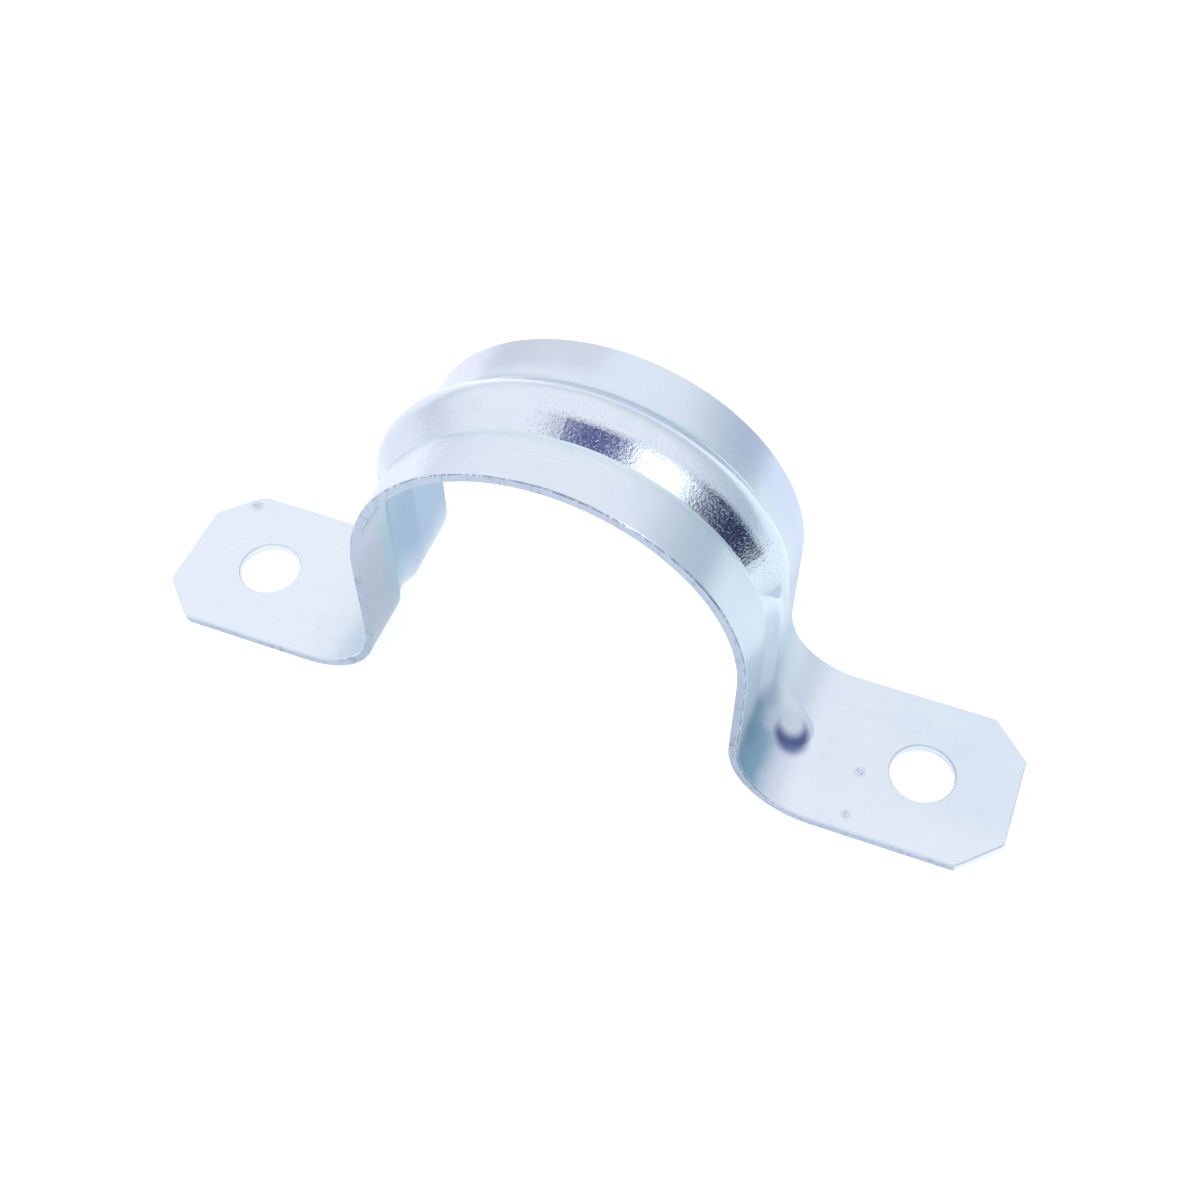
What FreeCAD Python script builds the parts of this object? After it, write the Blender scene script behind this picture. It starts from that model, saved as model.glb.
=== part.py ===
import FreeCAD, Part
import math
import os

import Sketcher

os.makedirs("parts", exist_ok=True)

# Two-hole strap for thin-wall conduit, pressed from one strip of zinc-plated steel: an arch
# over the conduit, two legs, two flat feet with a screw hole each, and a rib that stiffens the
# arch. The rib fades into a low, wide swell down each leg, and a gusset crosses each bend.
# X runs along the strap through both screw holes, Y runs along the conduit, and Z is up.
# The origin is on the mounting plane, under the crown of the arch, midway across the strip.
doc = FreeCAD.newDocument("conduit_strap")

# Driving dimensions, in millimetres and degrees.
sheet = doc.addObject("Spreadsheet::Sheet", "Sizes")
sizes = [
    ("bore_radius", 19.3, "inside radius of the arch, around the conduit"),
    ("axis_height", 19.5, "conduit axis above the mounting plane"),
    ("sheet_gauge", 0.95, "thickness of the steel strip"),
    ("strip_width", 18.2, "width of the strip, along the conduit"),
    ("leg_lean_deg", 1.4, "inward lean of each leg, towards its foot"),
    ("bend_radius", 7.9, "concave radius between leg and foot"),
    ("overall_length", 93.2, "length over both feet"),
    ("hole_spacing", 74.1, "distance between the screw holes"),
    ("hole_diameter", 6.6, "punched screw hole"),
    ("corner_cut", 4.0, "cropped corners of the feet"),
    ("corner_round_plus", 0.8, "rounds on the corners of the +X foot"),
    ("corner_round_minus", 1.8, "rounds on the corners of the -X foot"),
    ("rib_height", 2.05, "rib crest above the lands, over the arch"),
    ("rib_crest_radius", 3.0, "crest radius of the rib section"),
    ("rib_flank_deg", 40.0, "slope of the rib's flanks"),
    ("rib_fade_deg", 30.0, "where the rib begins to fade, up from the level of the axis"),
    ("rib_fade_radius", 12.0, "radius in which the rib's crest goes down into the swell"),
    ("swell_start_deg", 45.0, "where the swell begins inside the rib, up from the axis level"),
    ("swell_height", 1.0, "swell crest above the leg"),
    ("swell_crest_radius", 5.0, "crest radius of the swell's section"),
    ("swell_flank_deg", 55.0, "slope of the swell's flanks"),
    ("gusset_reach", 25.9, "where the gusset's crest runs into the foot"),
    ("gusset_slope_deg", 48.0, "slope of the gusset's crest, away from upright"),
    ("gusset_bend_radius", 5.0, "radius between the swell's crest and the gusset's"),
    ("crease_radius", 0.5, "concave radius where rib, swell and gusset leave the strip"),
    ("eased_edge", 0.15, "broken rim on the outer side of the strip"),
]
for row, (alias, value, meaning) in enumerate(sizes, start=1):
    sheet.set(f"A{row}", alias)
    sheet.set(f"B{row}", str(value))
    sheet.set(f"C{row}", meaning)
    sheet.setAlias(f"B{row}", alias)
doc.recompute()


def size(alias):
    """Plain number held by one cell of the sheet."""
    return float(sheet.get(alias))


bore = size("bore_radius")
axis_z = size("axis_height")
gauge = size("sheet_gauge")
half_width = size("strip_width") / 2
lean = math.radians(size("leg_lean_deg"))
bend = size("bend_radius")
half_length = size("overall_length") / 2

body = doc.addObject("PartDesign::Body", "strap")
body.Label = "strap"
doc.recompute()


def origin_plane(role):
    """Origin plane of the body, by its role."""
    return next(plane for plane in body.Origin.OriginFeatures if plane.Role == role)


def new_sketch(name, role):
    """Empty sketch flat on one of the body's origin planes."""
    sketch = body.newObject("Sketcher::SketchObject", name)
    sketch.AttachmentSupport = (origin_plane(role), [""])
    sketch.MapMode = "FlatFace"
    return sketch


def point(x, y):
    return FreeCAD.Vector(x, y, 0)


def line(sketch, start, end):
    return sketch.addGeometry(Part.LineSegment(start, end), False)


def arc(sketch, centre, radius, first, last):
    """Arc run anticlockwise from the first angle to the last."""
    circle = Part.Circle(centre, FreeCAD.Vector(0, 0, 1), radius)
    return sketch.addGeometry(Part.ArcOfCircle(circle, first, last), False)


def limit(sketch, kind, *where):
    """Geometric constraint without a size."""
    sketch.addConstraint(Sketcher.Constraint(kind, *where))


def bind(sketch, kind, where, value, expression):
    """Dimension driven by an expression on the sheet."""
    index = sketch.addConstraint(Sketcher.Constraint(kind, *where, value))
    sketch.setExpression(f"Constraints[{index}]", expression)


# Side profile of one half, from the crown arc down a leaning leg and a bend to a flat foot.
# The outer side bounds the filled blank. The inner side bounds what comes out of it, so that
# one gauge of steel is left between the two.
def half_profile(name, crown, corner, foot_z, end_x, floor_z):
    """Closed half profile; each size is a pair of its value and its expression."""
    corner_z = bend + gauge
    corner_x = (bore + corner_z + (corner_z - axis_z) * math.sin(lean)) / math.cos(lean)
    leg_normal = point(math.cos(lean), -math.sin(lean))
    axis = point(0, axis_z)
    corner_centre = point(corner_x, corner_z)
    crown_end = axis + leg_normal * crown[0]
    leg_end = corner_centre - leg_normal * corner[0]
    foot_start = point(corner_x, foot_z)
    foot_end = point(end_x[0], foot_z)
    end_foot = point(end_x[0], floor_z[0])
    sketch = new_sketch(name, "XZ_Plane")
    crown_arc = arc(sketch, axis, crown[0], -lean, math.pi / 2)
    leg = line(sketch, leg_end, crown_end)
    corner_arc = arc(sketch, corner_centre, corner[0], math.pi - lean, 1.5 * math.pi)
    foot = line(sketch, foot_start, foot_end)
    end = line(sketch, foot_end, end_foot)
    floor = line(sketch, end_foot, point(0, floor_z[0]))
    middle = line(sketch, point(0, floor_z[0]), point(0, axis_z + crown[0]))
    limit(sketch, "Tangent", crown_arc, 1, leg, 2)
    limit(sketch, "Tangent", leg, 1, corner_arc, 1)
    limit(sketch, "Tangent", corner_arc, 2, foot, 1)
    limit(sketch, "Coincident", foot, 2, end, 1)
    limit(sketch, "Coincident", end, 2, floor, 1)
    limit(sketch, "Coincident", floor, 2, middle, 1)
    limit(sketch, "Coincident", middle, 2, crown_arc, 2)
    limit(sketch, "Horizontal", foot)
    limit(sketch, "Vertical", end)
    limit(sketch, "Horizontal", floor)
    limit(sketch, "PointOnObject", middle, 1, -2)
    limit(sketch, "PointOnObject", middle, 2, -2)
    limit(sketch, "PointOnObject", crown_arc, 3, -2)
    lean_expression = "90 deg - Sizes.leg_lean_deg * 1 deg"
    bend_expression = "Sizes.bend_radius + Sizes.sheet_gauge"
    bind(sketch, "DistanceY", (-1, 1, crown_arc, 3), axis_z, "Sizes.axis_height")
    bind(sketch, "Radius", (crown_arc,), *crown)
    bind(sketch, "Angle", (leg,), math.pi / 2 - lean, lean_expression)
    bind(sketch, "DistanceY", (-1, 1, corner_arc, 3), corner_z, bend_expression)
    bind(sketch, "Radius", (corner_arc,), *corner)
    bind(sketch, "DistanceX", (-1, 1, end, 1), *end_x)
    bind(sketch, "DistanceY", (floor, 1, -1, 1), -floor_z[0], floor_z[1])
    return sketch


outer_profile = half_profile(
    "OuterProfile",
    crown=(bore + gauge, "Sizes.bore_radius + Sizes.sheet_gauge"),
    corner=(bend, "Sizes.bend_radius"),
    foot_z=gauge,
    end_x=(half_length, "Sizes.overall_length / 2"),
    floor_z=(-gauge, "Sizes.sheet_gauge"),
)
inner_profile = half_profile(
    "InnerProfile",
    crown=(bore, "Sizes.bore_radius"),
    corner=(bend + gauge, "Sizes.bend_radius + Sizes.sheet_gauge"),
    foot_z=0,
    end_x=(half_length + bend, "Sizes.overall_length / 2 + Sizes.bend_radius"),
    floor_z=(-bend - gauge, "Sizes.bend_radius + Sizes.sheet_gauge"),
)
blank = body.newObject("PartDesign::Pad", "Blank")
blank.Profile = outer_profile
blank.SideType = "Symmetric"
blank.setExpression("Length", "Sizes.strip_width")
doc.recompute()

# Crest line of the rib: over the arch, then inward until it is buried under the swell.
rib_height = size("rib_height")
fade = math.radians(size("rib_fade_deg"))
fade_radius = size("rib_fade_radius")
crest_radius = bore + gauge + rib_height
axis = point(0, axis_z)
fade_way = point(math.cos(fade), math.sin(fade))
fade_centre = axis + fade_way * (crest_radius - fade_radius)
rib_line = new_sketch("RibLine", "XZ_Plane")
over = arc(rib_line, axis, crest_radius, fade, math.pi / 2)
under = arc(rib_line, fade_centre, fade_radius, fade - math.pi / 2, fade)
ray = rib_line.addGeometry(Part.LineSegment(axis, axis + fade_way * crest_radius), True)
limit(rib_line, "Tangent", over, 1, under, 2)
limit(rib_line, "PointOnObject", over, 2, -2)
limit(rib_line, "PointOnObject", over, 3, -2)
limit(rib_line, "Coincident", ray, 1, over, 3)
limit(rib_line, "Coincident", ray, 2, over, 1)
crest_expression = "Sizes.bore_radius + Sizes.sheet_gauge + Sizes.rib_height"
under_expression = "Sizes.rib_fade_radius * sin(Sizes.rib_fade_deg * 1 deg)"
bind(rib_line, "DistanceY", (-1, 1, over, 3), axis_z, "Sizes.axis_height")
bind(rib_line, "Radius", (over,), crest_radius, crest_expression)
bind(rib_line, "Radius", (under,), fade_radius, "Sizes.rib_fade_radius")
bind(rib_line, "Angle", (ray,), fade, "Sizes.rib_fade_deg * 1 deg")
bind(rib_line, "DistanceX", (under, 3, under, 1), fade_radius * math.sin(fade), under_expression)

# Crest line of swell and gusset: it starts within the rib, follows the arch, runs down the
# leg, then out across the bend and into the foot, where it ends below the strip.
swell_start = math.radians(size("swell_start_deg"))
swell_crest = bore + gauge + size("swell_height")
slope = math.radians(size("gusset_slope_deg"))
gusset_bend = size("gusset_bend_radius")
reach = size("gusset_reach")
leg_normal = point(math.cos(lean), -math.sin(lean))
leg_way = point(-math.sin(lean), -math.cos(lean))
gusset_normal = point(math.cos(slope), math.sin(slope))
leg_start = axis + leg_normal * swell_crest
toe = point(reach, gauge)
leg_line = leg_normal.dot(leg_start) + gusset_bend
gusset_line = gusset_normal.dot(toe) + gusset_bend
lean_over_slope = math.sin(lean + slope)
gusset_centre = point(
    (leg_line * gusset_normal.y - gusset_line * leg_normal.y) / lean_over_slope,
    (leg_normal.x * gusset_line - gusset_normal.x * leg_line) / lean_over_slope,
)
leg_end = gusset_centre - leg_normal * gusset_bend
gusset_start = gusset_centre - gusset_normal * gusset_bend
gusset_end = point(reach + 2 * gauge * math.tan(slope), -gauge)
swell_ray_end = axis + point(math.cos(swell_start), math.sin(swell_start)) * swell_crest
swell_line = new_sketch("SwellLine", "XZ_Plane")
beside = arc(swell_line, axis, swell_crest, -lean, swell_start)
down = line(swell_line, leg_end, leg_start)
outward = arc(swell_line, gusset_centre, gusset_bend, math.pi - lean, math.pi + slope)
across = line(swell_line, gusset_end, gusset_start)
swell_ray = swell_line.addGeometry(Part.LineSegment(axis, swell_ray_end), True)
toe_point = swell_line.addGeometry(Part.Point(toe), True)
limit(swell_line, "Tangent", beside, 1, down, 2)
limit(swell_line, "Tangent", down, 1, outward, 1)
limit(swell_line, "Tangent", outward, 2, across, 2)
limit(swell_line, "PointOnObject", beside, 3, -2)
limit(swell_line, "Coincident", swell_ray, 1, beside, 3)
limit(swell_line, "Coincident", swell_ray, 2, beside, 2)
limit(swell_line, "PointOnObject", toe_point, 1, across)
swell_expression = "Sizes.bore_radius + Sizes.sheet_gauge + Sizes.swell_height"
down_expression = "90 deg - Sizes.leg_lean_deg * 1 deg"
across_expression = "90 deg + Sizes.gusset_slope_deg * 1 deg"
bind(swell_line, "DistanceY", (-1, 1, beside, 3), axis_z, "Sizes.axis_height")
bind(swell_line, "Radius", (beside,), swell_crest, swell_expression)
bind(swell_line, "Radius", (outward,), gusset_bend, "Sizes.gusset_bend_radius")
bind(swell_line, "Angle", (swell_ray,), swell_start, "Sizes.swell_start_deg * 1 deg")
bind(swell_line, "Angle", (down,), math.pi / 2 - lean, down_expression)
bind(swell_line, "Angle", (across,), math.pi / 2 + slope, across_expression)
bind(swell_line, "DistanceX", (-1, 1, toe_point, 1), reach, "Sizes.gusset_reach")
bind(swell_line, "DistanceY", (-1, 1, toe_point, 1), gauge, "Sizes.sheet_gauge")
bind(swell_line, "DistanceY", (across, 1, -1, 1), gauge, "Sizes.sheet_gauge")
doc.recompute()


# Section of the rib or of the swell: a round crest between two straight flanks. The groove inside
# it is the same section, one gauge smaller all round.
def ridge_section(name, crest_y, radius, flank, base_y):
    """Closed section in the plane of the crown; each size is a value and its expression."""
    centre = point(0, crest_y[0] - radius[0])
    tangent = centre + point(math.sin(flank[0]), math.cos(flank[0])) * radius[0]
    half_base = tangent.x + (tangent.y - base_y[0]) / math.tan(flank[0])
    sketch = new_sketch(name, "YZ_Plane")
    crest = arc(sketch, centre, radius[0], math.pi / 2 - flank[0], math.pi / 2 + flank[0])
    near = line(sketch, tangent, point(half_base, base_y[0]))
    base = line(sketch, point(half_base, base_y[0]), point(-half_base, base_y[0]))
    far = line(sketch, point(-half_base, base_y[0]), point(-tangent.x, tangent.y))
    top = sketch.addGeometry(Part.Point(point(0, crest_y[0])), True)
    limit(sketch, "Tangent", crest, 1, near, 1)
    limit(sketch, "Coincident", near, 2, base, 1)
    limit(sketch, "Coincident", base, 2, far, 1)
    limit(sketch, "Tangent", far, 2, crest, 2)
    limit(sketch, "PointOnObject", crest, 3, -2)
    limit(sketch, "PointOnObject", top, 1, -2)
    limit(sketch, "PointOnObject", top, 1, crest)
    limit(sketch, "Symmetric", base, 1, base, 2, -2)
    bind(sketch, "Radius", (crest,), *radius)
    bind(sketch, "Angle", (far,), *flank)
    bind(sketch, "DistanceY", (-1, 1, top, 1), *crest_y)
    bind(sketch, "DistanceY", (-1, 1, base, 1), *base_y)
    return sketch


def both_sections(name, crest_y, radius, flank, base_y):
    """Section of a ridge and of the groove inside it."""
    groove_y = (crest_y[0] - gauge, crest_y[1] + " - Sizes.sheet_gauge")
    groove_radius = (radius[0] - gauge, radius[1] + " - Sizes.sheet_gauge")
    outer = ridge_section(name + "Section", crest_y, radius, flank, base_y)
    inner = ridge_section(name + "GrooveSection", groove_y, groove_radius, flank, base_y)
    return outer, inner


def sweep(kind, name, section, spine):
    """Section swept along a crest line."""
    pipe = body.newObject(kind, name)
    pipe.Profile = section
    pipe.Spine = (spine, [])
    doc.recompute()


land = bore + gauge
land_expression = "Sizes.bore_radius + Sizes.sheet_gauge"
arch_base = (land - bend / 2, land_expression + " - Sizes.bend_radius / 2")
rib_sections = both_sections(
    "Rib",
    crest_y=(crest_radius, crest_expression),
    radius=(size("rib_crest_radius"), "Sizes.rib_crest_radius"),
    flank=(math.radians(size("rib_flank_deg")), "Sizes.rib_flank_deg * 1 deg"),
    base_y=arch_base,
)
swell_sections = both_sections(
    "Swell",
    crest_y=(swell_crest, swell_expression),
    radius=(size("swell_crest_radius"), "Sizes.swell_crest_radius"),
    flank=(math.radians(size("swell_flank_deg")), "Sizes.swell_flank_deg * 1 deg"),
    base_y=arch_base,
)


def stand_square(sections, turn, expression):
    """Sections lifted to the conduit axis and turned about it to the start of their line."""
    for section in sections:
        tilt = FreeCAD.Rotation(FreeCAD.Vector(1, 0, 0), turn)
        section.AttachmentOffset = FreeCAD.Placement(FreeCAD.Vector(0, axis_z, 0), tilt)
        section.setExpression("AttachmentOffset.Base.y", "Sizes.axis_height * 1 mm")
        section.setExpression("AttachmentOffset.Rotation.Angle", expression)
    doc.recompute()


# Both sections are drawn from the conduit axis outward.
swell_turn_expression = "90 deg - Sizes.swell_start_deg * 1 deg"
stand_square(rib_sections, 0, "0 deg")
stand_square(swell_sections, 90 - size("swell_start_deg"), swell_turn_expression)
sweep("PartDesign::AdditivePipe", "Rib", rib_sections[0], rib_line)
sweep("PartDesign::AdditivePipe", "Swell", swell_sections[0], swell_line)

# The inside comes out wider than the strip, so that nothing of the ridges is left within it.
hollow = body.newObject("PartDesign::Pocket", "Hollow")
hollow.Profile = inner_profile
hollow.SideType = "Symmetric"
hollow.setExpression("Length", "2 * Sizes.strip_width")
doc.recompute()

sweep("PartDesign::SubtractivePipe", "SwellGroove", swell_sections[1], swell_line)
sweep("PartDesign::SubtractivePipe", "RibGroove", rib_sections[1], rib_line)

# One screw hole in the middle of each foot.
hole_x = size("hole_spacing") / 2
hole_radius = size("hole_diameter") / 2
hole_sketch = new_sketch("ScrewHoleSketch", "XY_Plane")
hole_circle = Part.Circle(point(hole_x, 0), FreeCAD.Vector(0, 0, 1), hole_radius)
hole = hole_sketch.addGeometry(hole_circle, False)
limit(hole_sketch, "PointOnObject", hole, 3, -1)
bind(hole_sketch, "DistanceX", (-1, 1, hole, 3), hole_x, "Sizes.hole_spacing / 2")
bind(hole_sketch, "Radius", (hole,), hole_radius, "Sizes.hole_diameter / 2")
screw_hole = body.newObject("PartDesign::Pocket", "ScrewHole")
screw_hole.Profile = hole_sketch
screw_hole.SideType = "Symmetric"
screw_hole.setExpression("Length", "4 * Sizes.sheet_gauge")
doc.recompute()

# The other half of the strap mirrors this one.
mirror = body.newObject("PartDesign::Mirrored", "OtherHalf")
mirror.Originals = [blank]
mirror.TransformMode = "Whole shape"
mirror.MirrorPlane = (origin_plane("YZ_Plane"), [""])
body.Tip = mirror
doc.recompute()


def dress(kind, name, wanted, prop, expression):
    """Chamfer or fillet on every edge of the tip for which wanted(edge) holds."""
    base = body.Tip
    edges = enumerate(base.Shape.Edges, start=1)
    names = [f"Edge{number}" for number, edge in edges if wanted(edge)]
    feature = body.newObject(kind, name)
    feature.Base = (base, names)
    feature.setExpression(prop, expression)
    body.Tip = feature
    doc.recompute()


def middle_of(edge):
    return edge.valueAt((edge.FirstParameter + edge.LastParameter) / 2)


def lies_on(profile, place):
    """True for a place on the strip's surface above or below the given side profile."""
    flat = Part.Vertex(FreeCAD.Vector(abs(place.x), 0, place.z))
    return profile.Shape.distToShape(flat)[0] < 0.001


def upright_corner(edge, side):
    """True for an upright corner edge of the foot on the given side of the arch."""
    box = edge.BoundBox
    upright = box.ZLength > gauge / 2 and box.XLength < 0.001 and box.YLength < 0.001
    return upright and side * middle_of(edge).x > 0


def crease(edge, profile):
    """True where rib, swell or gusset leaves the strip's surface given by a side profile."""
    middle = middle_of(edge)
    box = edge.BoundBox
    between_faces = box.XLength < 0.001 and box.ZLength < 0.001
    inside = abs(middle.y) < half_width - gauge / 4 and abs(middle.x) < hole_x - hole_radius - gauge
    return inside and not between_faces and lies_on(profile, middle)


def rim(edge):
    """True around the strip's outline and the screw holes, on the outer side."""
    middle = middle_of(edge)
    on_side = abs(middle.y) > half_width - 0.001
    on_foot = abs(middle.x) > hole_x - hole_radius - 0.001 and middle.z > gauge / 2
    return (on_side or on_foot) and lies_on(outer_profile, middle)


# Cropped corners and their rounds.
dress(
    "PartDesign::Chamfer", "CroppedCorners",
    lambda edge: upright_corner(edge, 1) or upright_corner(edge, -1),
    "Size", "Sizes.corner_cut",
)
dress(
    "PartDesign::Fillet", "CornerRoundsPlus",
    lambda edge: upright_corner(edge, 1),
    "Radius", "Sizes.corner_round_plus",
)
dress(
    "PartDesign::Fillet", "CornerRoundsMinus",
    lambda edge: upright_corner(edge, -1),
    "Radius", "Sizes.corner_round_minus",
)

# Rib and gusset leave the strip in a small hollow round outside, and in the same round plus
# one gauge inside.
dress(
    "PartDesign::Fillet", "OuterCrease",
    lambda edge: crease(edge, outer_profile),
    "Radius", "Sizes.crease_radius",
)
dress(
    "PartDesign::Fillet", "InnerCrease",
    lambda edge: crease(edge, inner_profile),
    "Radius", "Sizes.crease_radius + Sizes.sheet_gauge",
)
dress("PartDesign::Chamfer", "EasedEdge", rim, "Size", "Sizes.eased_edge")

for item in doc.Objects:
    if "Invalid" in item.State or "Error" in item.State:
        raise ValueError(f"{item.Name} is {item.State}")
if body.Shape.isNull() or not body.Shape.isValid():
    raise ValueError("the strap has no valid shape")
if len(body.Shape.Solids) != 1:
    raise ValueError("the strap is not one solid")
body.Shape.exportStep("parts/strap.step")
print(f"strap: {body.Shape.Volume:.1f} mm3, {len(body.Shape.Faces)} faces")
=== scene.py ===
import math

import bmesh
import bpy
from mathutils import Matrix, Vector

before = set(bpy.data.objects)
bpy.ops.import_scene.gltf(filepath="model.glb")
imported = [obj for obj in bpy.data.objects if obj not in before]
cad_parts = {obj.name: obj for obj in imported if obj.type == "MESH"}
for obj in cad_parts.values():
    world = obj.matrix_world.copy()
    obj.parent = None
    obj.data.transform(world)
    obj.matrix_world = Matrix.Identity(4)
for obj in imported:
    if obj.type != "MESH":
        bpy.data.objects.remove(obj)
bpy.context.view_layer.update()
scene = bpy.context.scene


# --- Strap -------------------------------------------------------------------
# One strip of sheet steel, folded to an arch with two feet, with a stiffening rib
# pressed along it and out into the bends. It is bright zinc plated, then dipped in a
# clear blue chromate that leaves a faint teal, lavender and rose bloom.
MM = 0.001
HALF_WIDTH = 9.1 * MM
RIB_HALF_WIDTH = 3.55 * MM
ARCH_FOOT = 10.0 * MM
ARCH_SHOULDER = 19.0 * MM
RIB_END = 24.0 * MM
RIB_FULL = 29.5 * MM

# Tones of the chromate over zinc, with the painted shade, sheen and reflection tones among them, from
# the lightest to the darkest of each hue.
SWELL_SHEEN_BLUE = (0.760, 0.850, 0.930)
FOOT_LEFT_SHEEN_BLUE = (0.730, 0.785, 0.860)
FOOT_RIGHT_SHEEN_BLUE = (0.720, 0.765, 0.840)
PALE_BLUE = (0.690, 0.740, 0.825)
PLATE_BLUE = (0.640, 0.715, 0.800)
INSIDE_SHADE_BLUE = (0.340, 0.460, 0.600)
PIT_BLUE = (0.330, 0.430, 0.740)
KNOCK_BLUE = (0.270, 0.350, 0.520)
NOSE_REFLECTION_INDIGO = (0.080, 0.110, 0.280)
MOTTLE_TEAL = (0.600, 0.690, 0.760)
CREASE_SHADE_TEAL = (0.545, 0.690, 0.735)
INSIDE_SHADE_TEAL = (0.340, 0.490, 0.540)
LEG_REFLECTION_TEAL = (0.190, 0.370, 0.480)
CREASE_ROSE = (0.640, 0.560, 0.670)
LAND_SHADE_LAVENDER = (0.550, 0.570, 0.660)
LAND_SHADE_BLUE = (0.460, 0.530, 0.680)
LEFT_SHADE_GREY = (0.490, 0.540, 0.625)
RIGHT_SHADE_GREY = (0.470, 0.575, 0.655)
INSIDE_SHADE_GREY = (0.440, 0.480, 0.540)
EDGE_GREY = (0.410, 0.480, 0.580)
HAIRLINE_GREY = (0.400, 0.450, 0.560)
TEAR_GREY = (0.300, 0.330, 0.430)
RIM_GREY = (0.170, 0.210, 0.320)

# Roughness of the plate and of the stretched flank, and what dulls it elsewhere.
PLATE_ROUGHNESS = 0.27
FLANK_ROUGHNESS = 0.08
MOTTLE_DULLS = 0.16
LEG_DULLS = 0.22
EDGE_DULLS = 0.15
BEVEL_DULLS = 0.35
PIT_DULLS = 0.26
GRAIN_DEPTH = 0.030 * MM

zinc = bpy.data.materials.new("bright_zinc_plate")
zinc.use_nodes = True
nodes = zinc.node_tree.nodes
links = zinc.node_tree.links
nodes.clear()


def fill(socket, value):
    """Sets an input from a number, a colour or another node's output."""
    if isinstance(value, bpy.types.NodeSocket):
        links.new(value, socket)
    elif isinstance(value, tuple) and len(value) == 3 and socket.type == "RGBA":
        socket.default_value = value + (1.0,)
    else:
        socket.default_value = value


def calc(operation, *values):
    """A Math node: each value is a number or another node's output."""
    node = nodes.new("ShaderNodeMath")
    node.operation = operation
    for socket, value in zip(node.inputs, values):
        fill(socket, value)
    return node.outputs[0]


def step(value, low, high):
    """A smooth step from 0 to 1 while value goes from low to high."""
    node = nodes.new("ShaderNodeMapRange")
    node.interpolation_type = "SMOOTHSTEP"
    fill(node.inputs["Value"], value)
    fill(node.inputs["From Min"], low)
    fill(node.inputs["From Max"], high)
    return node.outputs["Result"]


def both(*masks):
    """Where all of the masks hold."""
    product = masks[0]
    for mask in masks[1:]:
        product = calc("MULTIPLY", product, mask)
    return product


def without(mask):
    """Where the mask doesn't hold."""
    return calc("SUBTRACT", 1.0, mask)


def tint(under, over, mask):
    """One colour laid over another where a mask holds."""
    node = nodes.new("ShaderNodeMix")
    node.data_type = "RGBA"
    fill(node.inputs[0], mask)
    fill(node.inputs[6], under)
    fill(node.inputs[7], over)
    return node.outputs[2]


def noise(grain, detail=2.0, rough=0.5, stretch=(1.0, 1.0, 1.0)):
    """Noise whose grain has the given size, drawn out along the axes with a stretch above 1."""
    mapping = nodes.new("ShaderNodeMapping")
    mapping.inputs["Scale"].default_value = tuple(1.0 / part for part in stretch)
    links.new(place.outputs["Object"], mapping.inputs["Vector"])
    node = nodes.new("ShaderNodeTexNoise")
    node.inputs["Scale"].default_value = 1.0 / grain
    node.inputs["Detail"].default_value = detail
    node.inputs["Roughness"].default_value = rough
    links.new(mapping.outputs[0], node.inputs["Vector"])
    return node.outputs["Fac"]


def spot(centre, radius, core=0.3):
    """A round spot on the object, full inside its core, which is a share of its radius."""
    node = nodes.new("ShaderNodeVectorMath")
    node.operation = "DISTANCE"
    links.new(place.outputs["Object"], node.inputs[0])
    node.inputs[1].default_value = centre
    return step(node.outputs["Value"], radius, core * radius)


place = nodes.new("ShaderNodeTexCoord")
axes = nodes.new("ShaderNodeSeparateXYZ")
links.new(place.outputs["Object"], axes.inputs[0])
along, across, height = axes.outputs
facing = nodes.new("ShaderNodeSeparateXYZ")
links.new(nodes.new("ShaderNodeNewGeometry").outputs["Normal"], facing.inputs[0])
facing_along, facing_across, facing_up = facing.outputs

# Places on the strip: its rib, its legs, its inner side, its sheared edges and their rims.
from_middle = calc("ABSOLUTE", across)
on_arch = step(height, ARCH_FOOT, ARCH_SHOULDER)
on_foot = step(height, 3.0 * MM, 1.2 * MM)
on_rib = both(
    step(from_middle, RIB_HALF_WIDTH + 0.2 * MM, RIB_HALF_WIDTH - 0.3 * MM),
    step(height, RIB_END, RIB_FULL),
)
crease = both(
    step(from_middle, RIB_HALF_WIDTH - 0.3 * MM, RIB_HALF_WIDTH + 0.1 * MM),
    step(from_middle, RIB_HALF_WIDTH + 0.9 * MM, RIB_HALF_WIDTH + 0.3 * MM),
)
outward = calc("ADD", calc("MULTIPLY", facing_along, calc("SIGN", along)), facing_up)
inner_side = both(step(outward, 0.05, -0.05), step(height, 1.5 * MM, 4.0 * MM))
side_on = calc("ABSOLUTE", facing_across)
at_edge = step(from_middle, HALF_WIDTH - 0.25 * MM, HALF_WIDTH - 0.15 * MM)
sheared = both(step(side_on, 0.88, 0.96), at_edge)
at_rim = step(from_middle, HALF_WIDTH - 0.10 * MM, HALF_WIDTH - 0.06 * MM)
rim = both(step(side_on, 0.45, 0.60), step(side_on, 0.88, 0.80), at_rim, without(on_foot))
right_side = step(along, -2.0 * MM, 2.0 * MM)
right_shoulder = both(right_side, step(along, 6.0 * MM, 19.0 * MM))
outer_side = without(inner_side)

# Colour: wide clouds of the chromate's bloom, with finer mottling and a teal painted shade in the
# creases.
cloud = noise(18.0 * MM, 3.0, 0.55)
mottle = noise(3.2 * MM, 4.0, 0.62)
fleck = noise(0.24 * MM, 2.0, 0.6)
colour = tint(PLATE_BLUE, PALE_BLUE, step(cloud, 0.35, 0.65))
colour = tint(colour, MOTTLE_TEAL, both(step(mottle, 0.50, 0.75), 0.45))
# Painted shade: the arch's creases tinted darker teal.
colour = tint(colour, CREASE_SHADE_TEAL, both(crease, on_arch, 0.55, step(cloud, 0.30, 0.60)))
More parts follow.
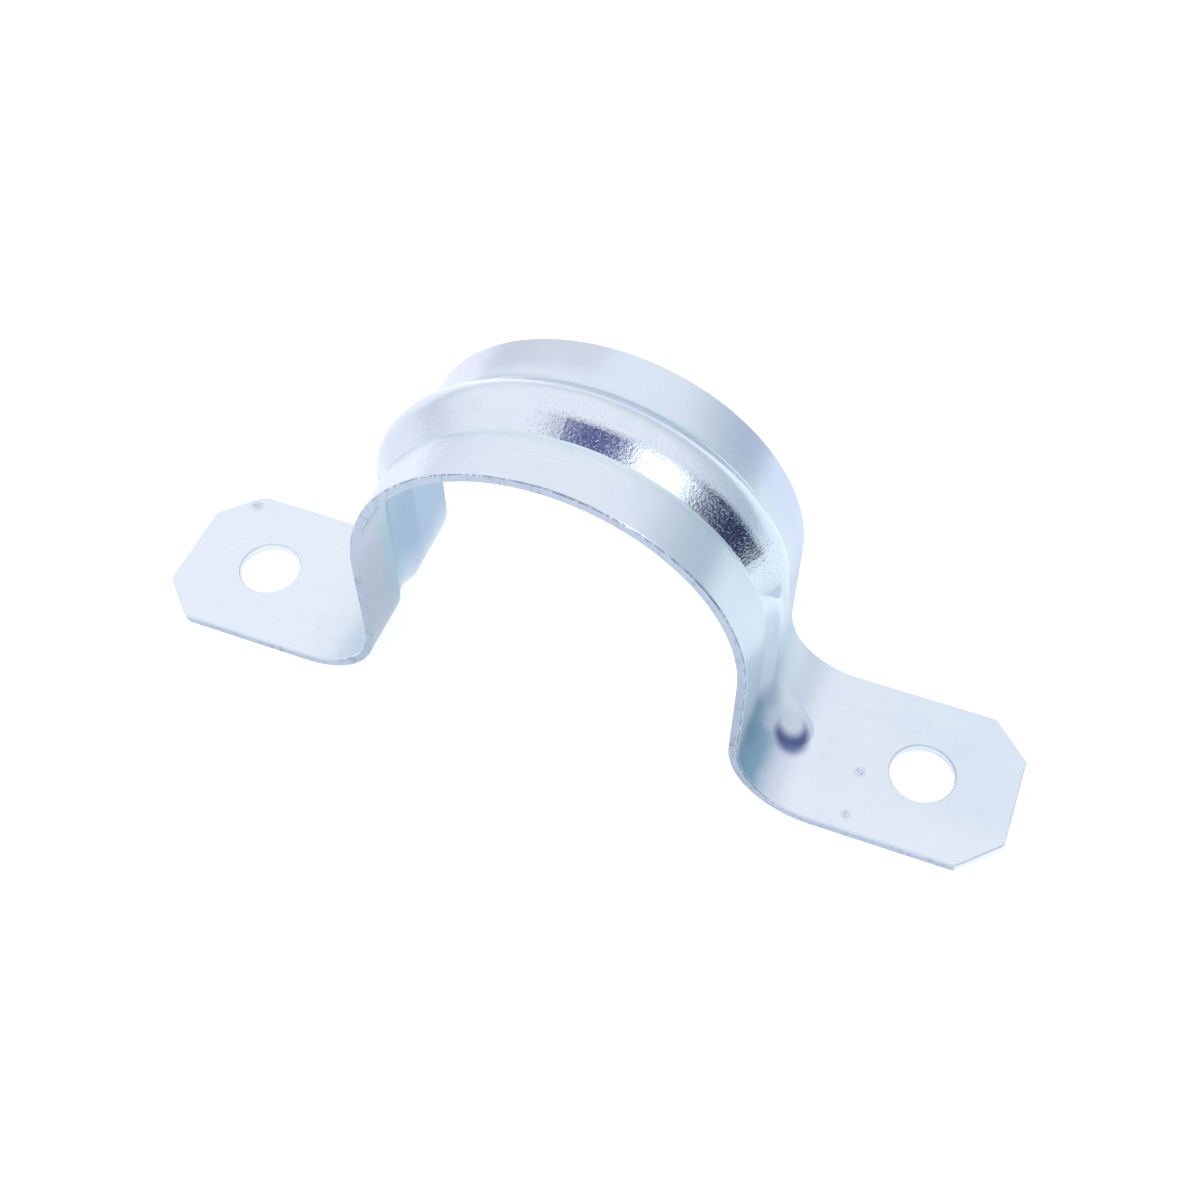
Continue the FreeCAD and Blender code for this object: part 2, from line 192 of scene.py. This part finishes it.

# Painted shade: both shoulders and the rear land are painted darker, in greys and the chromate's blue
# and lavender.
shaded_flank = both(right_shoulder, step(height, 2.5 * MM, 7.0 * MM), outer_side)
flank_shade_strength = both(shaded_flank, without(both(on_rib, 0.35)), 0.94)
# Painted shade: the right shoulder darkened to grey, less on the rib.
colour = tint(colour, RIGHT_SHADE_GREY, flank_shade_strength)
shaded_left = both(step(along, -9.0 * MM, -17.0 * MM), step(height, 5.0 * MM, 9.0 * MM), outer_side)
# Painted shade: the left shoulder darkened to grey.
colour = tint(colour, LEFT_SHADE_GREY, both(shaded_left, 0.88))
rear_land = both(step(across, 4.0 * MM, 6.5 * MM), on_arch)
# Painted shade on the rear land, in the chromate's blue and lavender tints.
colour = tint(colour, LAND_SHADE_BLUE, both(rear_land, right_shoulder, 0.65))
colour = tint(colour, LAND_SHADE_LAVENDER, both(rear_land, without(right_side), 0.70))

# Painted reflection and shade: a dark teal reflection painted low on the right leg, and the inside of
# the arch painted darker for its shade in the chromate's blue, with teal and grey to the front.
low_band = both(step(height, 11.5 * MM, 6.5 * MM), step(height, 2.2 * MM, 4.5 * MM))
low_teal_reflection = both(low_band, outer_side, step(across, -1.5 * MM, -3.5 * MM))
# Painted reflection: dark teal low on the right leg's front, broken by the mottle.
colour = tint(colour, LEG_REFLECTION_TEAL, both(low_teal_reflection, right_side, step(mottle, 0.15, 0.55), 0.80))
# Painted shade inside the arch, over the chromate's blue, with teal and grey bands to the front.
colour = tint(colour, INSIDE_SHADE_BLUE, both(inner_side, 0.88, step(height, 4.0 * MM, 12.0 * MM)))
teal_band = both(step(across, -6.0 * MM, -4.0 * MM), step(across, 1.0 * MM, -3.0 * MM))
colour = tint(colour, INSIDE_SHADE_TEAL, both(inner_side, teal_band, 0.6))
grey_inside = both(inner_side, step(across, -3.4 * MM, -5.6 * MM))
colour = tint(colour, INSIDE_SHADE_GREY, both(grey_inside, 0.7))

# A paler painted sheen on the swell and the feet, and a painted dark reflection in a crescent under
# the nose.
swell_across = both(step(across, -3.5 * MM, -2.9 * MM), step(across, -0.4 * MM, -1.4 * MM))
swell_height = both(step(height, 8.5 * MM, 12.0 * MM), step(height, 27.5 * MM, 23.0 * MM))
swell_sheen_front = both(swell_across, swell_height, right_side)
# Painted highlight: a paler band on the swell's front.
colour = tint(colour, SWELL_SHEEN_BLUE, both(swell_sheen_front, outer_side, 0.50))
left_foot = both(on_foot, step(along, -22.0 * MM, -30.0 * MM))
# Painted sheen: the tops of both feet painted paler.
colour = tint(colour, FOOT_LEFT_SHEEN_BLUE, both(left_foot, 0.80))
right_foot_front = both(on_foot, right_side, step(across, -2.0 * MM, -7.0 * MM))
colour = tint(colour, FOOT_RIGHT_SHEEN_BLUE, both(right_foot_front, 0.70))
# Painted reflection: a dark indigo crescent under the gusset's nose.
nose_dark_reflection = both(
    spot((23.7 * MM, -1.3 * MM, 2.9 * MM), 2.7 * MM, 0.55),
    without(spot((23.7 * MM, -0.1 * MM, 4.1 * MM), 2.6 * MM, 0.55)),
)
colour = tint(colour, NOSE_REFLECTION_INDIGO, both(nose_dark_reflection, 0.9))
rear_left_crease = both(crease, step(across, 0.0, 1.0 * MM), step(along, -2.0 * MM, -8.0 * MM))
colour = tint(colour, CREASE_ROSE, both(rear_left_crease, on_arch, outer_side, 0.5))

# Bare steel shows through thin plating on the sheared edges; a broken dark line is painted along
# their rims.
tear = noise(0.5 * MM, 3.0, 0.7, (1.0, 0.5, 2.0))
colour = tint(colour, EDGE_GREY, both(sheared, 0.9))
colour = tint(colour, TEAR_GREY, both(sheared, step(tear, 0.54, 0.66), 0.7))
colour = tint(colour, RIM_GREY, both(rim, step(tear, 0.40, 0.52), 0.85))

# Wear: hairline scratches in two directions and a few small knocks, each a place and a radius.
hair_along = step(noise(0.16 * MM, 1.0, 0.4, (60.0, 1.0, 60.0)), 0.700, 0.735)
hair_across = step(noise(0.18 * MM, 1.0, 0.4, (1.0, 45.0, 1.0)), 0.710, 0.740)
worn = step(noise(6.0 * MM, 2.0, 0.5), 0.50, 0.62)
hairlines = both(calc("MAXIMUM", hair_along, hair_across), worn)
colour = tint(colour, HAIRLINE_GREY, both(hairlines, 0.22))
KNOCKS = (
    ((31.1 * MM, -2.1 * MM, 0.95 * MM), 0.8 * MM),
    ((31.1 * MM, -7.3 * MM, 0.95 * MM), 0.7 * MM),
    ((-42.7 * MM, 7.5 * MM, 0.95 * MM), 1.0 * MM),
    ((-19.8 * MM, 4.7 * MM, 14.6 * MM), 0.9 * MM),
    ((-19.8 * MM, 3.8 * MM, 13.2 * MM), 0.8 * MM),
)
knocks = 0.0
for centre, radius in KNOCKS:
    knocks = calc("MAXIMUM", knocks, spot(centre, radius))
colour = tint(colour, KNOCK_BLUE, both(knocks, step(fleck, 0.35, 0.60), 0.60))

# Fine pits roughen the rib's front flank, where the press stretched the strip most.
on_flank = both(on_rib, step(across, 0.2 * MM, -0.9 * MM))
pits = both(on_flank, step(along, -6.0 * MM, -1.0 * MM), step(fleck, 0.58, 0.64))
colour = tint(colour, PIT_BLUE, both(pits, 0.40))

# Sheen: the plating is brightest where the press stretched it over the rib, duller on the
# legs, on the sheared edges and on the eased rim of the feet.
satin = calc("ADD", PLATE_ROUGHNESS, both(calc("SUBTRACT", mottle, 0.5), MOTTLE_DULLS))
low_strip = both(step(height, 27.0 * MM, 15.0 * MM), without(on_foot))
satin = calc("ADD", satin, both(low_strip, LEG_DULLS))
satin = calc("ADD", satin, both(sheared, EDGE_DULLS))
bevel = both(on_foot, step(facing_up, 0.50, 0.60), step(facing_up, 0.85, 0.78))
satin = calc("ADD", satin, both(bevel, BEVEL_DULLS))
roughness = calc("ADD", both(without(on_flank), satin), both(on_flank, FLANK_ROUGHNESS))
roughness = calc("ADD", roughness, both(pits, PIT_DULLS))

# Relief: the strip's fine grain, stronger on the stretched rib, with scratches and knocks.
stipple = noise(0.26 * MM, 3.0, 0.7)
grain = both(stipple, calc("ADD", 0.20, both(on_flank, 0.75)))
relief = calc("SUBTRACT", calc("SUBTRACT", grain, both(hairlines, 0.15)), both(knocks, 0.9))
bump = nodes.new("ShaderNodeBump")
bump.inputs["Strength"].default_value = 1.0
bump.inputs["Distance"].default_value = GRAIN_DEPTH
links.new(relief, bump.inputs["Height"])

shader = nodes.new("ShaderNodeBsdfPrincipled")
shader.inputs["Metallic"].default_value = 1.0
links.new(colour, shader.inputs["Base Color"])
links.new(roughness, shader.inputs["Roughness"])
links.new(bump.outputs["Normal"], shader.inputs["Normal"])
output = nodes.new("ShaderNodeOutputMaterial")
links.new(shader.outputs[0], output.inputs["Surface"])

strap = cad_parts["strap"]
strap.data.materials.clear()
strap.data.materials.append(zinc)


# --- Floor -------------------------------------------------------------------
# A white light table that the strap lies on: a matt sheet with a faint glow from below,
# wide enough to fill every view.
FLOOR_HALF = 1.5

floor_shape = bmesh.new()
bmesh.ops.create_grid(floor_shape, x_segments=1, y_segments=1, size=FLOOR_HALF)
floor_mesh = bpy.data.meshes.new("light_table")
floor_shape.to_mesh(floor_mesh)
floor_shape.free()
floor = bpy.data.objects.new("light_table", floor_mesh)
scene.collection.objects.link(floor)
board = bpy.data.materials.new("matt_white_sheet")
board.use_nodes = True
sheet = board.node_tree.nodes["Principled BSDF"]
sheet.inputs["Base Color"].default_value = (0.82, 0.82, 0.825, 1.0)
sheet.inputs["Roughness"].default_value = 0.9
sheet.inputs["Specular IOR Level"].default_value = 0.1
sheet.inputs["Emission Color"].default_value = (1.0, 1.0, 1.0, 1.0)
sheet.inputs["Emission Strength"].default_value = 0.50
floor_mesh.materials.append(board)


# --- Studio light ------------------------------------------------------------
# A white tent all round gives the high-key light. It is a little darker and bluer towards
# the horizon, above all on the right.
TENT_STRENGTH = 1.12
TENT_TOP = (0.975, 0.985, 1.0, 1.0)
TENT_HORIZON = (0.66, 0.70, 0.77, 1.0)
TENT_LEAN = -0.28
TENT_RISE = 0.7

tent = bpy.data.worlds.new("white_tent")
tent.use_nodes = True
tent_nodes = tent.node_tree.nodes
tent_links = tent.node_tree.links
direction = tent_nodes.new("ShaderNodeTexCoord")
direction_axes = tent_nodes.new("ShaderNodeSeparateXYZ")
tent_links.new(direction.outputs["Generated"], direction_axes.inputs[0])
to_left = tent_nodes.new("ShaderNodeMath")
to_left.operation = "MULTIPLY_ADD"
to_left.inputs[1].default_value = TENT_LEAN
tent_links.new(direction_axes.outputs["X"], to_left.inputs[0])
tent_links.new(direction_axes.outputs["Z"], to_left.inputs[2])
rise = tent_nodes.new("ShaderNodeMapRange")
rise.interpolation_type = "SMOOTHSTEP"
rise.inputs["From Min"].default_value = 0.0
rise.inputs["From Max"].default_value = TENT_RISE
tent_links.new(to_left.outputs[0], rise.inputs["Value"])
tent_colour = tent_nodes.new("ShaderNodeMix")
tent_colour.data_type = "RGBA"
tent_colour.inputs[6].default_value = TENT_HORIZON
tent_colour.inputs[7].default_value = TENT_TOP
tent_links.new(rise.outputs["Result"], tent_colour.inputs[0])
tent_links.new(tent_colour.outputs[2], tent_nodes["Background"].inputs["Color"])
tent_nodes["Background"].inputs["Strength"].default_value = TENT_STRENGTH
# The camera sees the tent as pure white above the table's far edge.
seen_tent = tent_nodes.new("ShaderNodeBackground")
seen_tent.inputs["Color"].default_value = (1.0, 1.0, 1.0, 1.0)
seen_tent.inputs["Strength"].default_value = TENT_STRENGTH
ray_kind = tent_nodes.new("ShaderNodeLightPath")
tent_mix = tent_nodes.new("ShaderNodeMixShader")
tent_links.new(ray_kind.outputs["Is Camera Ray"], tent_mix.inputs[0])
tent_links.new(tent_nodes["Background"].outputs[0], tent_mix.inputs[1])
tent_links.new(seen_tent.outputs[0], tent_mix.inputs[2])
tent_links.new(tent_mix.outputs[0], tent_nodes["World Output"].inputs["Surface"])
scene.world = tent

# Two blue-black cards and a white one between them stand outside the view, as a studio sets
# them to draw shapes into a bright part: only reflections see them.
# Each has a name, a place, the point it faces, its width and height, its colour and its glow.
NAVY = (0.006, 0.014, 0.068, 1.0)
INDIGO = (0.062, 0.072, 0.215, 1.0)
WHITE = (1.0, 1.0, 1.0, 1.0)
cards = (
    ("black_card_at_lens", (-0.005, -0.154, 0.219), (0.0, 0.0, 0.035), 0.136, 0.092, INDIGO, 0.0),
    ("black_card_low_right", (0.150, -0.075, 0.050), (0.025, -0.002, 0.032), 0.068, 0.145, NAVY, 0.0),
    ("white_card_right", (0.142, -0.194, 0.215), (0.010, 0.0, 0.035), 0.090, 0.100, WHITE, 1.9),
)
for name, where, target, wide, tall, card_colour, glow in cards:
    card_shape = bmesh.new()
    bmesh.ops.create_grid(card_shape, x_segments=1, y_segments=1, size=0.5)
    bmesh.ops.scale(card_shape, vec=(wide, tall, 1.0), verts=card_shape.verts)
    turn = (Vector(target) - Vector(where)).to_track_quat("-Z", "Y").to_matrix().to_4x4()
    bmesh.ops.transform(card_shape, matrix=Matrix.Translation(where) @ turn, verts=card_shape.verts)
    card_mesh = bpy.data.meshes.new(name)
    card_shape.to_mesh(card_mesh)
    card_shape.free()
    card_material = bpy.data.materials.new(name)
    card_material.use_nodes = True
    paper = card_material.node_tree.nodes["Principled BSDF"]
    paper.inputs["Base Color"].default_value = card_colour
    paper.inputs["Roughness"].default_value = 0.9
    paper.inputs["Emission Color"].default_value = card_colour
    paper.inputs["Emission Strength"].default_value = glow
    card_mesh.materials.append(card_material)
    card = bpy.data.objects.new(name, card_mesh)
    scene.collection.objects.link(card)
    card.visible_camera = False
    card.visible_diffuse = False
    card.visible_shadow = False

scene.view_settings.view_transform = "Standard"


# --- Camera ------------------------------------------------------------------
# It looks down on the strap from the front right, about 175 mm from its middle.
CAMERA_PLACE = Vector((0.04110, -0.09866, 0.15297))
CAMERA_AIM = Vector((-0.00045, 0.00711, 0.02000))
CAMERA_ROLL = math.radians(-0.46)

camera_data = bpy.data.cameras.new("camera")
camera_data.sensor_width = 36.0
camera_data.lens = 52.41
camera_data.shift_y = -0.0834
camera_data.clip_start = 0.005
camera_data.clip_end = 10.0
camera = bpy.data.objects.new("camera", camera_data)
look = (CAMERA_AIM - CAMERA_PLACE).to_track_quat("-Z", "Y").to_matrix().to_4x4()
camera.matrix_world = Matrix.Translation(CAMERA_PLACE) @ look @ Matrix.Rotation(CAMERA_ROLL, 4, "Z")
scene.collection.objects.link(camera)
scene.camera = camera
